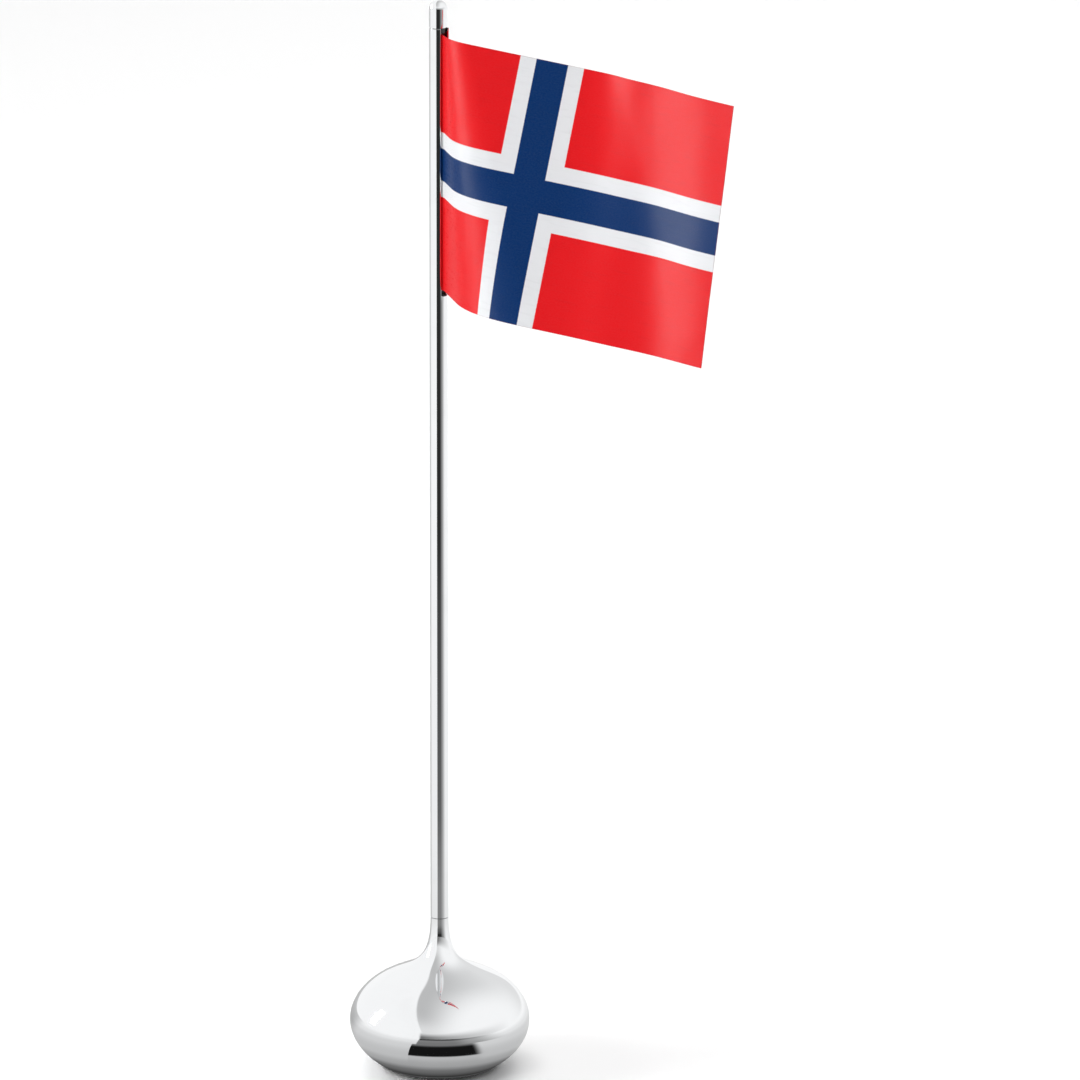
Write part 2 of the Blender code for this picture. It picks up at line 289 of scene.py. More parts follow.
def dress(graph, shader, shade, roughness, relief, strength, depth, metallic=None):
    """Links the colour, roughness and relief that vary over the surface to the shader."""
    wires = {"Base Color": shade, "Roughness": roughness, "Normal": graph.bump(relief, strength, depth)}
    if metallic:
        wires["Metallic"] = metallic
    for name, wire in wires.items():
        graph.tree.links.new(wire.socket, shader.inputs[name])


def chrome_material(name, settings):
    """Bright plating: mirror-clean, with faint handling haze, hairlines and a trace of casting waviness."""
    material, graph, shader, place = new_material(name, settings.tint, settings.polish, 1.0)
    haze = graph.ramp(graph.noise(place, 55.0, 4.0), 0.5, 0.72)
    dabs = graph.ramp(graph.noise(place, 260.0, 3.0), 0.56, 0.75)
    hairs = graph.ramp(graph.noise(graph.stretched(place, 1.0, 1.0, 0.04), 5200.0, 1.0), 0.68, 0.8)
    roughness = settings.polish + haze * settings.smudge + dabs * 0.02 + hairs * 0.05
    shade = graph.mix(haze * 0.5, rgba(settings.tint), rgba([0.93 * value for value in settings.tint]))
    waviness = graph.noise(place, 140.0, 1.0) + hairs * 0.02
    dress(graph, shader, shade, roughness, waviness, 0.04, 0.2 * MM)
    return material


def rubber_material(name):
    """Matt cellular rubber with open pores and pale dust."""
    black = (0.018, 0.018, 0.019)
    material, graph, shader, place = new_material(name, black, 0.85, 0.0)
    pores = graph.add("ShaderNodeTexVoronoi", {"feature": "F1"}, {"Vector": place, "Scale": 2600.0})
    dust = graph.ramp(graph.noise(place, 350.0, 4.0), 0.5, 0.8)
    shade = graph.mix(dust * 0.5, rgba(black), (0.05, 0.049, 0.046, 1.0))
    dress(graph, shader, shade, 0.78 + dust * 0.15, pores, 0.6, 0.12 * MM)
    return material


def painted_material(name):
    """Black paint on pressed steel sheet, with orange peel and rubbed spots."""
    black = (0.028, 0.028, 0.03)
    material, graph, shader, place = new_material(name, black, 0.5, 0.0)
    peel = graph.noise(place, 1500.0, 2.0)
    rubbed = graph.ramp(graph.noise(place, 240.0, 5.0), 0.62, 0.74)
    shade = graph.mix(rubbed * 0.6, rgba(black), (0.09, 0.09, 0.092, 1.0))
    dress(graph, shader, shade, 0.42 + peel * 0.18 - rubbed * 0.1, peel, 0.35, 0.05 * MM)
    return material


def iron_material(name):
    """Raw casting: sandy skin, darker scale and a breath of rust."""
    grey = (0.1, 0.1, 0.104)
    material, graph, shader, place = new_material(name, grey, 0.6, 0.8)
    sand = graph.noise(place, 1900.0, 3.0, 0.65)
    scale = graph.ramp(graph.noise(place, 170.0, 4.0), 0.45, 0.65)
    rust = graph.ramp(graph.noise(place, 95.0, 5.0), 0.6, 0.75)
    shade = graph.mix(scale, rgba(grey), (0.05, 0.05, 0.053, 1.0))
    shade = graph.mix(rust * 0.5, shade, (0.14, 0.07, 0.035, 1.0))
    roughness = 0.5 + scale * 0.2 + rust * 0.15
    dress(graph, shader, shade, roughness, sand, 0.7, 0.15 * MM, metallic=0.85 - rust * 0.5)
    return material


def zinc_material(name):
    """Turned steel under zinc: fine rings, cloudy passivation."""
    grey = (0.56, 0.57, 0.58)
    material, graph, shader, place = new_material(name, grey, 0.32, 1.0)
    x, y, z = graph.parts(place)
    radius = graph.math("SQRT", x * x + y * y)
    rings = graph.math("SINE", (radius + z) * (TAU / (0.12 * MM)))
    cloud = graph.noise(place, 420.0, 4.0)
    shade = graph.mix(cloud, (0.47, 0.49, 0.5, 1.0), (0.66, 0.66, 0.64, 1.0))
    dress(graph, shader, shade, 0.24 + cloud * 0.2, rings, 0.25, 0.01 * MM)
    return material


def plastic_material(name):
    """Black moulded plastic: fine spark texture with slightly shiny patches, whose lighter colour is a
    painted sheen.
    """
    black = (0.012, 0.012, 0.013)
    material, graph, shader, place = new_material(name, black, 0.45, 0.0)
    grain = graph.noise(place, 3600.0, 2.0)
    gloss_and_painted_sheen = graph.ramp(graph.noise(place, 600.0, 2.0), 0.4, 0.7)
    # Painted sheen: the shiny patches are lighter in colour as well as smoother
    shade = graph.mix(gloss_and_painted_sheen, rgba(black), (0.02, 0.02, 0.021, 1.0))
    dress(graph, shader, shade, 0.5 - gloss_and_painted_sheen * 0.12, grain, 0.4, 0.03 * MM)
    return material


def rod_material(name):
    """Drawn steel wire: long die lines and a thin film of oil."""
    steel = (0.45, 0.46, 0.47)
    material, graph, shader, place = new_material(name, steel, 0.25, 1.0)
    lines = graph.noise(graph.stretched(place, 1.0, 1.0, 0.01), 6500.0, 2.0)
    oil = graph.ramp(graph.noise(place, 190.0, 3.0), 0.45, 0.7)
    shade = graph.mix(oil, rgba(steel), (0.37, 0.365, 0.35, 1.0))
    dress(graph, shader, shade, 0.2 + lines * 0.16 + oil * 0.05, lines, 0.3, 0.02 * MM)
    return material


def cross_mask(graph, across, down, first, last):
    """1 on the two bars of a cross, whose sides run from first to last flag units, and 0 elsewhere."""
    blur = 0.025
    bars = [
        graph.ramp(place, first - blur, first + blur) - graph.ramp(place, last - blur, last + blur)
        for place in (across, down)
    ]
    return graph.math("MAXIMUM", *bars)


def satin_material(name, cloth):
    """Printed polyester satin: a bordered cross, woven grain, glossy floats with a faint painted sparkle in
    the dye, and heat-cut edges.
    """
    material, graph, shader, _ = new_material(name, cloth.red, 0.4, 0.0)
    uv = graph.add("ShaderNodeUVMap", {"uv_map": "cloth"})
    along, drop, _ = graph.parts(uv)
    wobble = (graph.noise(uv, 2600.0, 2.0) - 0.5) * 0.03
    across = along / FLAG_UNIT + wobble
    down = drop / FLAG_UNIT + wobble
    border = cross_mask(graph, across, down, 6.0, 10.0)
    cross = cross_mask(graph, across, down, 7.0, 9.0)
    dye = graph.mix(border, rgba(cloth.red), rgba(cloth.white))
    dye = graph.mix(cross, dye, rgba(cloth.blue))
    floats = graph.noise(graph.stretched(uv, 0.6, 1.0, 1.0), 2400.0, 3.0, 0.6)
    slubs = graph.noise(graph.stretched(uv, 0.12, 1.0, 1.0), 900.0, 2.0)
    weft = graph.math("SINE", drop * (TAU / (0.21 * MM)))
    warp = graph.math("SINE", along * (TAU / (0.17 * MM)))
    float_gloss_and_painted_sparkle = graph.ramp(floats, 0.4, 0.62)
    # Painted highlight: a faint whitish sparkle is mixed into the dye over the glossy floats; their lower
    # roughness is real
    dye = graph.mix(float_gloss_and_painted_sparkle * 0.008, dye, (0.95, 0.9, 0.9, 1.0))
    dye = graph.mix(graph.ramp(slubs, 0.5, 0.8) * 0.05, dye, (0.02, 0.006, 0.012, 1.0))
    edge = graph.math("MINIMUM", FLAG_FLY - along, graph.math("MINIMUM", drop, FLAG_HOIST - drop))
    melted = 1.0 - graph.ramp(edge, 0.05 * MM, 0.3 * MM)
    dye = graph.mix(melted * 0.3, dye, (0.25, 0.06, 0.08, 1.0))
    roughness = 0.35 - float_gloss_and_painted_sparkle * 0.08 + (slubs - 0.5) * 0.08 - melted * 0.1
    relief = weft * 0.3 + warp * 0.15 + floats * 1.4 + slubs * 0.5
    dress(graph, shader, dye, roughness, relief, 0.42, 0.04 * MM)
    shader.inputs["Specular IOR Level"].default_value = 0.045
    return material


def thread_material(name):
    """Red polyester sewing thread: two plies laid round each other, with painted shade in the grooves between
    them.
    """
    red = (0.62, 0.012, 0.016)
    material, graph, shader, place = new_material(name, red, 0.5, 0.0)
    x, y, z = graph.parts(place)
    plies = graph.math("SINE", (z + x + y) * (TAU / (0.16 * MM)))
    # Painted shade: the red darkens in the grooves between the plies, where the relief is lowest
    shade = graph.mix(graph.ramp(plies, -0.8, 0.4), (0.36, 0.006, 0.01, 1.0), rgba(red))
    dress(graph, shader, shade, 0.5 + plies * 0.08, plies, 0.5, 0.02 * MM)
    return material


# ---- making pieces


def link_object(name, data):
    piece = bpy.data.objects.new(name, data)
    bpy.context.scene.collection.objects.link(piece)
    return piece


def mesh_from(bm, name):
    """Ends the building of a mesh."""
    mesh = bpy.data.meshes.new(name)
    bm.to_mesh(mesh)
    bm.free()
    return mesh


def round_edges(piece, width, above):
    """Rounds the edges that are sharper than an angle."""
    rounding = piece.modifiers.new("rounded_edges", "BEVEL")
    rounding.width = width
    rounding.segments = 3
    rounding.limit_method = "ANGLE"
    rounding.angle_limit = math.radians(above)


def settle(piece, material, sharp_above=32.0):
    """Turns a piece's live modifiers into a plain, closed mesh, with sharp shading above an angle."""
    bpy.context.view_layer.update()
    evaluated = piece.evaluated_get(bpy.context.evaluated_depsgraph_get())
    mesh = bpy.data.meshes.new_from_object(evaluated)
    piece.modifiers.clear()
    piece.data = mesh
    bm = bmesh.new()
    bm.from_mesh(mesh)
    bmesh.ops.remove_doubles(bm, verts=bm.verts, dist=WELD_GAP)
    bmesh.ops.recalc_face_normals(bm, faces=bm.faces)
    bm.to_mesh(mesh)
    bm.free()
    mesh.materials.clear()
    mesh.materials.append(material)
    mesh.shade_smooth()
    mesh.set_sharp_from_angle(angle=math.radians(sharp_above))
    return piece


def hand_over(piece, body, slot, *nodes):
    """Says what a piece rides on and which CAD parts it stands for, which it hides; the slot is not used."""
    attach(piece, body)
    if nodes:
        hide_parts(*nodes)


def finish_node(node, material):
    """Gives a CAD part its finish."""
    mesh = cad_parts[node].data
    mesh.materials.clear()
    mesh.materials.append(material)


def new_geometry_tree(name, inputs):
    """A geometry tree with named inputs, given as name and socket type, and the wires from them."""
    tree = bpy.data.node_groups.new(name, "GeometryNodeTree")
    for label, kind in inputs:
        tree.interface.new_socket(name=label, in_out="INPUT", socket_type=kind)
    tree.interface.new_socket(name="Geometry", in_out="OUTPUT", socket_type="NodeSocketGeometry")
    graph = Graph(tree)
    source = graph.add("NodeGroupInput")
    return tree, graph, [source.out(label) for label, _ in inputs]


def end_tree(graph, geometry, material):
    real = graph.add("GeometryNodeRealizeInstances", None, {"Geometry": geometry})
    dressed = graph.add("GeometryNodeSetMaterial", None, {"Geometry": real, "Material": material})
    graph.add("NodeGroupOutput", None, {"Geometry": dressed})


def turning_tree():
    """Turns one curve, drawn in the XZ plane, once round the Z axis."""
    inputs = [
        ("Curve", "NodeSocketGeometry"), ("Steps Along", "NodeSocketInt"), ("Steps Around", "NodeSocketInt"),
    ]
    tree, graph, (curve, along, around) = new_geometry_tree("turned_section", inputs)
    grid = graph.add(
        "GeometryNodeMeshGrid", None,
        {"Size X": 1.0, "Size Y": 1.0, "Vertices X": along + 1, "Vertices Y": around + 1},
    )
    column, row, _ = graph.parts(graph.add("GeometryNodeInputPosition"))
    sample = graph.add(
        "GeometryNodeSampleCurve", {"mode": "FACTOR"}, {"Curves": curve, "Factor": column + 0.5}, "Position"
    )
    radius, _, height = graph.parts(sample)
    turn = row * TAU
    place = graph.vector(radius * graph.math("COSINE", turn), radius * graph.math("SINE", turn), height)
    turned = graph.add("GeometryNodeSetPosition", None, {"Geometry": grid, "Position": place})
    graph.add("NodeGroupOutput", None, {"Geometry": turned})
    return tree


class Outline:
    """The sections of a turned outline, each from one point (radius, height) to the next."""

    def __init__(self, graph):
        self.graph = graph
        self.sections = []

    def point(self, place):
        radius, height = place
        return self.graph.vector(radius, 0.0, height)

    def line(self, *places):
        for start, end in zip(places, places[1:]):
            curve = self.graph.add(
                "GeometryNodeCurvePrimitiveLine", None, {"Start": self.point(start), "End": self.point(end)}
            )
            self.sections.append((curve, 1))

    def sweep(self, start, start_handle, end_handle, end, steps):
        curve = self.graph.add(
            "GeometryNodeCurvePrimitiveBezierSegment", {"mode": "POSITION"},
            {
                "Resolution": 8 * steps, "Start": self.point(start), "Start Handle": self.point(start_handle),
                "End Handle": self.point(end_handle), "End": self.point(end),
            },
        )
        self.sections.append((curve, steps))

    def ellipse(self, radius, half_height, middle, first, last, steps):
        """A stretch of an ellipse centred on the axis, between two angles from its widest ring."""
        arc = self.graph.add(
            "GeometryNodeCurveArc", {"mode": "RADIUS"},
            {"Resolution": 8 * steps, "Radius": 1.0, "Start Angle": first, "Sweep Angle": last - first},
        )
        x, y, _ = self.graph.parts(self.graph.add("GeometryNodeInputPosition"))
        place = self.point((radius * x, middle + half_height * y))
        curve = self.graph.add("GeometryNodeSetPosition", None, {"Geometry": arc, "Position": place})
        self.sections.append((curve, steps))


def make_turned(name, sizes, draw, steps, material):
    """A turned piece: sizes gives its named inputs, and draw(outline, *sizes) its sections."""
    inputs = [(label, "NodeSocketFloat") for label in sizes]
    inputs += [("Steps Around", "NodeSocketInt"), ("Material", "NodeSocketMaterial")]
    tree, graph, wires = new_geometry_tree(name, inputs)
    outline = Outline(graph)
    draw(outline, *wires[:-2])
    turning = bpy.data.node_groups.get("turned_section") or turning_tree()
    joined = graph.tree.nodes.new("GeometryNodeJoinGeometry")
    for curve, along in reversed(outline.sections):
        section = graph.add(
            "GeometryNodeGroup", {"node_tree": turning},
            {"Curve": curve, "Steps Along": along, "Steps Around": wires[-2]},
        )
        graph.tree.links.new(section.socket, joined.inputs[0])
    welded = graph.add(
        "GeometryNodeMergeByDistance", None,
        {"Geometry": Wire(graph, joined.outputs[0]), "Distance": WELD_GAP},
    )
    end_tree(graph, welded, wires[-1])
    piece = link_object(name, bpy.data.meshes.new(name))
    set_inputs(piece, tree, {**sizes, "Steps Around": steps, "Material": material})
    return settle(piece, material)


def set_inputs(piece, tree, values):
    """Puts a tree on a piece and sets its inputs by their identifiers."""
    modifier = piece.modifiers.new(tree.name, "NODES")
    modifier.node_group = tree
    for socket in tree.interface.items_tree:
        if socket.in_out == "INPUT" and socket.name in values:
            modifier[socket.identifier] = values[socket.name]


# ---- chrome pieces


def draw_base(
    outline, radius, half_depth, widest, top, neck, neck_pull, flare_foot, flare_pull,
    rim, rim_round, core, core_top, bore,
):
    """Slim neck, flare, elliptical drop, rounded rim, and the hollow that takes the ballast."""
    graph = outline.graph
    shoulder = graph.math("ARCSINE", (flare_foot - widest) / half_depth)
    tuck = graph.math("ARCSINE", (rim + rim_round - widest) / half_depth)
    foot_radius = radius * graph.math("COSINE", shoulder)
    slope_out = radius * graph.math("SINE", shoulder)
    slope_up = half_depth * graph.math("COSINE", shoulder)
    slope = graph.math("SQRT", slope_out * slope_out + slope_up * slope_up)
    handle = (foot_radius - flare_pull * slope_out / slope, flare_foot + flare_pull * slope_up / slope)
    outline.sweep((neck, top), (neck, top - neck_pull), handle, (foot_radius, flare_foot), 56)
    outline.ellipse(radius, half_depth, widest, shoulder, tuck, 64)
    rim_outer = radius * graph.math("COSINE", tuck)
    rim_inner = rim_outer - rim_round
    corner = (rim_outer - rim_round * 0.3, rim + rim_round * 0.3)
    rim_handle = (rim_inner + rim_round * 0.3, rim)
    outline.sweep((rim_outer, rim + rim_round), corner, rim_handle, (rim_inner, rim), 5)
    outline.line((rim_inner, rim), (core, rim), (core, core_top), (bore, core_top), (bore, top), (neck, top))


def make_base(chrome, material):
    sizes = {
        "Radius": node_radius("base_shell"), "Half Depth": BASE_HALF_DEPTH, "Widest Height": BASE_WIDEST_Z,
        "Top Height": node_top("base_shell"), "Neck Radius": POLE_RADIUS, "Neck Pull": chrome.neck_pull,
        "Flare Foot": FLARE_FOOT_Z, "Flare Pull": chrome.flare_pull, "Rim Height": node_foot("base_shell"),
        "Rim Round": RIM_ROUND, "Core Radius": CORE_RADIUS, "Core Top": CORE_TOP_Z, "Stud Bore": STUD_BORE,
    }
    return make_turned("chrome_base", sizes, draw_base, chrome.steps, material)


def draw_cap(outline, radius, foot, top, dome, wall, edge):
    """Domed outside, straight skirt with a broken edge, and the same shape a wall further in."""
    bore = radius - wall
    spring = top - dome
    outline.ellipse(radius, dome, spring, math.pi / 2, 0.0, 24)
    outline.line(
        (radius, spring), (radius, foot + edge), (radius - edge, foot), (bore, foot), (bore, spring)
    )
    outline.ellipse(bore, dome - wall, spring, 0.0, math.pi / 2, 16)


def make_cap(chrome, material):
    sizes = {
        "Radius": POLE_RADIUS, "Foot Height": node_foot("cap_shell"), "Top Height": node_top("cap_shell"),
        "Dome Height": CAP_DOME, "Wall": CAP_WALL, "Edge Break": EDGE_BREAK,
    }
    return make_turned("domed_cap", sizes, draw_cap, chrome.steps, material)


def draw_rod(outline, radius, foot, top, chamfer):
    """A straight wire with chamfered ends."""
    inner = radius - chamfer
    outline.line(
        (0.0, foot), (inner, foot), (radius, foot + chamfer),
        (radius, top - chamfer), (inner, top), (0.0, top),
    )


def make_rod(material):
    sizes = {
        "Radius": node_radius("hoist_rod"), "Foot Height": node_foot("hoist_rod"),
        "Top Height": node_top("hoist_rod"), "Chamfer": ROD_CHAMFER,
    }
    return make_turned("sleeve_rod", sizes, draw_rod, 48, material)


def spaced(first, last, count):
    return [first + (last - first) * i / count for i in range(count + 1)]


def smooth_step(value):
    value = min(1.0, max(0.0, value))
    return value * value * (3 - 2 * value)


def slot_foot_rise(turn, corner):
    """How far the slot's foot rises at an angle round the pole, to round its two corners."""
    if SLOT_NEAR_LIP <= turn <= SLOT_FAR_LIP:
        inset = POLE_RADIUS * min(turn - SLOT_NEAR_LIP, SLOT_FAR_LIP - turn)
        reach = max(0.0, corner - inset)
        return corner - math.sqrt(max(0.0, corner * corner - reach * reach))
    beyond = POLE_RADIUS * max(SLOT_NEAR_LIP - turn, turn - SLOT_FAR_LIP)
    return corner * (1 - smooth_step(beyond / (3 * corner)))


def lip_offset(turn, z, spread):
    """How far the far lip is bent out: most at the tube's top, and nothing 40 degrees away from the lip."""
    up = smooth_step((z - SLOT_FOOT_Z) / (0.6 * (POLE_TOP_Z - SLOT_FOOT_Z)))
    near = smooth_step(1 - (turn - SLOT_FAR_LIP) / math.radians(40.0))
    return spread * up * near


def make_pole(chrome, material):
    """The slotted tube: its outer skin with the slot left out, given its wall and broken edges."""
    corner = chrome.corner_round
    edge = 2.0 * MM
    slot_turns = spaced(SLOT_NEAR_LIP, SLOT_FAR_LIP, 40)
    back_turns = spaced(SLOT_FAR_LIP, SLOT_NEAR_LIP + TAU, 140)
    turns = slot_turns + back_turns[1:-1]
    rim = 2 * EDGE_BREAK  # keeps the shading of the two end faces off the long wall
    rows = [POLE_FOOT_Z] + spaced(POLE_FOOT_Z + rim, SLOT_FOOT_Z - edge, 6) + [SLOT_FOOT_Z]
    rows += spaced(SLOT_FOOT_Z + edge, POLE_TOP_Z - rim, 36) + [POLE_TOP_Z]
    slot_row = rows.index(SLOT_FOOT_Z)
    bm = bmesh.new()
    grid = []
    for i, z in enumerate(rows):
        ring = []
        for turn in turns:
            height = z + (slot_foot_rise(turn, corner) if i == slot_row else 0.0)
            outwards = lip_offset(turn, z, chrome.lip_spread) if turn > SLOT_FAR_LIP - 0.001 else 0.0
            radius = POLE_RADIUS + outwards
            ring.append(bm.verts.new((radius * math.cos(turn), radius * math.sin(turn), height)))
        grid.append(ring)
    for i, (lower, upper) in enumerate(zip(grid, grid[1:])):
        for j in range(len(turns)):
            if i >= slot_row and j < len(slot_turns) - 1:
                continue
            k = (j + 1) % len(turns)
            bm.faces.new((lower[j], lower[k], upper[k], upper[j]))
    bmesh.ops.delete(bm, geom=[vert for vert in bm.verts if not vert.link_faces], context="VERTS")
    tube = link_object("slotted_tube", mesh_from(bm, "slotted_tube"))
    wall = tube.modifiers.new("tube_wall", "SOLIDIFY")
    wall.thickness = POLE_WALL
    wall.offset = -1.0
    wall.use_even_offset = True
    round_edges(tube, 0.07 * MM, 50.0)
    return settle(tube, material)


def finer_copy(node, name, material, bevel):
    """A smooth-shaded copy of a CAD part with its edges rounded."""
    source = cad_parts[node]
    bm = bmesh.new()
    bm.from_mesh(source.data)
    bmesh.ops.remove_doubles(bm, verts=bm.verts, dist=0.0005 * MM)
    bmesh.ops.dissolve_limit(
        bm, angle_limit=math.radians(1.0), verts=bm.verts, edges=bm.edges, delimit={"NORMAL"}
    )
    copy = link_object(name, mesh_from(bm, name))
    round_edges(copy, bevel, 35.0)
    return settle(copy, material)


# ---- flag


def creases():
    """Every crease of the cloth, as its places on the top and bottom edges and its turn."""
    lines = []
    for top_start, top_end, foot_start, foot_end, turn, count in (LIP_BEND, HOIST_CURL, FLY_WAVE):
        for i in range(count):
            share = (i + 0.5) / count
            top = top_start + (top_end - top_start) * share
            foot = foot_start + (foot_end - foot_start) * share
            lines.append((top, foot, turn / count))
    return lines


class Drape:
    """Where a point of the flat cloth hangs once the cloth is folded along its creases."""

    def __init__(self):
        self.lines = creases()
        self.folded = [Matrix.Identity(4)]
        for top, foot, turn in self.lines:
            head = Vector((FLAG_EDGE + top, 0.0, 0.0))
            axis = head - Vector((FLAG_EDGE + foot, 0.0, -FLAG_HOIST))
            there = Matrix.Translation(head)
            fold = there @ Matrix.Rotation(turn, 4, axis) @ there.inverted()
            self.folded.append(self.folded[-1] @ fold)
        self.turn = Matrix.Rotation(FLAG_HEADING, 3, "Z")

    def place(self, along, drop):
        share = drop / FLAG_HOIST
        crossed = sum(along > top + (foot - top) * share for top, foot, _ in self.lines)
        return self.stand(self.folded[crossed] @ Vector((FLAG_EDGE + along, 0.0, -drop)))

    def stand(self, point):
        """From the flag's own plan, along and across its heading, to its place on the rod."""
        return self.turn @ Vector(point) + Vector((0.0, 0.0, FLAG_TOP_Z))


def tangent_turn(x, y, side):
    """Angle at which a straight run from (x, y) touches the sleeve's ring."""
    return math.atan2(y, x) + side * math.acos(SLEEVE_RADIUS / math.hypot(x, y))


def sleeve_plan(thickness):
    """The sleeve in plan, from the turned-in edge, round the rod, to the printed area."""
    under = -(thickness + LAYER_GAP)
    leave = tangent_turn(SEAM_REACH, 0.0, 1) - TAU
    arrive = tangent_turn(SEAM_REACH, under, -1)
    ring = [
        (SLEEVE_RADIUS * math.cos(turn), SLEEVE_RADIUS * math.sin(turn)) for turn in spaced(arrive, leave, 28)
    ]
    return [(HEM_REACH, under), (SEAM_REACH, under)] + ring + [(SEAM_REACH, 0.0), (FLAG_EDGE, 0.0)]


def plan_length(plan):
    return sum(math.dist(a, b) for a, b in zip(plan, plan[1:]))


def make_flag(cloth, material):
    """One sheet: sleeve, lead-in and printed area, with its thickness."""
    drape = Drape()
    plan = sleeve_plan(cloth.thickness)
    sleeve_length = plan_length(plan)
    columns = max(2, round(FLAG_FLY / cloth.mesh_step))
    rows = max(2, round(FLAG_HOIST / cloth.mesh_step))
    alongs = [-sleeve_length]
    for start, end in zip(plan, plan[1:]):
        alongs.append(alongs[-1] + math.dist(start, end))
    alongs[-1] = 0.0
    alongs += spaced(0.0, FLAG_FLY, columns)[1:]
    drops = spaced(0.0, FLAG_HOIST, rows)
    bm = bmesh.new()
    uv_layer = bm.loops.layers.uv.new("cloth")
    flat = {}
    grid = []
    for drop in drops:
        row = []
        for i, along in enumerate(alongs):
            if i < len(plan):
                point = drape.stand((*plan[i], -drop))
            else:
                point = drape.place(along, drop)
            vert = bm.verts.new(point)
            flat[vert] = (along, drop)
            row.append(vert)
        grid.append(row)
    for upper, lower in zip(grid, grid[1:]):
        for corners in zip(upper, upper[1:], lower[1:], lower):
            face = bm.faces.new(corners)
            for loop in face.loops:
                loop[uv_layer].uv = flat[loop.vert]
    bm.normal_update()
    for vert, (along, drop) in flat.items():
        vert.co += vert.normal * cloth.ripple * ripple(along, drop)
    flag = link_object("satin_flag", mesh_from(bm, "satin_flag"))
    depth = flag.modifiers.new("cloth_thickness", "SOLIDIFY")
    depth.thickness = cloth.thickness
    depth.offset = 0.0
    settle(flag, material, 60.0)
    return flag, (sleeve_length + FLAG_FLY, FLAG_HOIST)


def ripple(along, drop):
    """Unevenness of the cloth: small waves up to 1 high, which fade out towards the hoist, and a
    broad swell 5 times as high, which starts past the middle."""
    fade = smooth_step((along - 4 * MM) / (20 * MM))
    swell = 5.0 * math.cos((along - SWELL_CREST - 0.12 * drop) * TAU / (36.0 * MM))
    swell *= smooth_step((along - 58 * MM) / (20 * MM))
    wave = math.sin(along / (5.3 * MM) + drop / (17.0 * MM))
    wave += math.sin(along / (11.0 * MM) - drop / (7.9 * MM) + 1.3)
    wave += 0.6 * math.sin(along / (3.7 * MM) + drop / (4.9 * MM) + 4.0)
    return fade * wave / 2.6 + swell


def stitch_tree():
    """Arched stitches on both faces of a seam, those behind half a pitch lower."""
    inputs = [
        ("Seam", "NodeSocketGeometry"), ("Stitch Length", "NodeSocketFloat"), ("Pitch", "NodeSocketFloat"),
        ("Thread Radius", "NodeSocketFloat"), ("Half Thickness", "NodeSocketFloat"),
        ("Outward", "NodeSocketVector"), ("Material", "NodeSocketMaterial"),
    ]
    tree, graph, wires = new_geometry_tree("seam_stitches", inputs)
    seam, length, pitch, radius, half_thickness, outward, material = wires
    path = graph.add("GeometryNodeMeshToCurve", None, {0: seam})
    points = graph.add("GeometryNodeCurveToPoints", {"mode": "LENGTH"}, {"Curve": path, "Length": pitch})
    thread = graph.add("GeometryNodeCurvePrimitiveCircle", None, {"Resolution": 6, "Radius": radius})

    def scaled(factor):
        return graph.add("ShaderNodeVectorMath", {"operation": "SCALE"}, {0: outward, "Scale": factor})

    def added(first, second):
        return graph.add("ShaderNodeVectorMath", {"operation": "ADD"}, {0: first, 1: second})

    def raised(place, share):
        return added(place, graph.vector(0.0, 0.0, length * share))

    joined = graph.tree.nodes.new("GeometryNodeJoinGeometry")
    for side, lower_by in ((1.0, 0.0), (-1.0, 0.5)):
        foot = scaled(side * (half_thickness - radius))
        start, end = raised(foot, 0.5), raised(foot, -0.5)
        lift = scaled(side * radius * 3.0)
        first_handle, second_handle = raised(added(start, lift), -0.1), raised(added(end, lift), 0.1)
        arch = graph.add(
            "GeometryNodeCurvePrimitiveBezierSegment", {"mode": "POSITION"},
            {
                "Resolution": 5, "Start": start, "Start Handle": first_handle,
                "End Handle": second_handle, "End": end,
            },
        )
        stitch = graph.add(
            "GeometryNodeCurveToMesh", None, {"Curve": arch, "Profile Curve": thread, "Fill Caps": True}
        )
        shifted = graph.add(
            "GeometryNodeSetPosition", None,
            {"Geometry": points, "Offset": graph.vector(0.0, 0.0, pitch * -lower_by)},
        )
        row = graph.add("GeometryNodeInstanceOnPoints", None, {"Points": shifted, "Instance": stitch})
        graph.tree.links.new(row.socket, joined.inputs[0])
    end_tree(graph, Wire(graph, joined.outputs[0]), material)
    return tree


def make_stitches(cloth, material):
    drape = Drape()
    across = -(cloth.thickness + LAYER_GAP) / 2
    inset = 1.2 * MM
    mesh = bpy.data.meshes.new("sleeve_stitches")
    ends = [
        drape.stand((SEAM_REACH, across, -inset)), drape.stand((SEAM_REACH, across, inset - FLAG_HOIST)),
    ]
    mesh.from_pydata(ends, [(0, 1)], [])
    piece = link_object("sleeve_stitches", mesh)
    values = {
        "Stitch Length": cloth.stitch_length, "Pitch": cloth.stitch_pitch,
        "Thread Radius": cloth.thread_radius, "Half Thickness": cloth.thickness + LAYER_GAP / 2,
        "Outward": drape.turn @ Vector((0.0, 1.0, 0.0)), "Material": material,
    }
    set_inputs(piece, stitch_tree(), values)
    return settle(piece, material, 50.0)


# ---- stage


PANEL_LEAN = (0.34, 0.31)  # how far the grey panel's edge swings left with height and to the front
FLOOR_RADIUS = 9.0

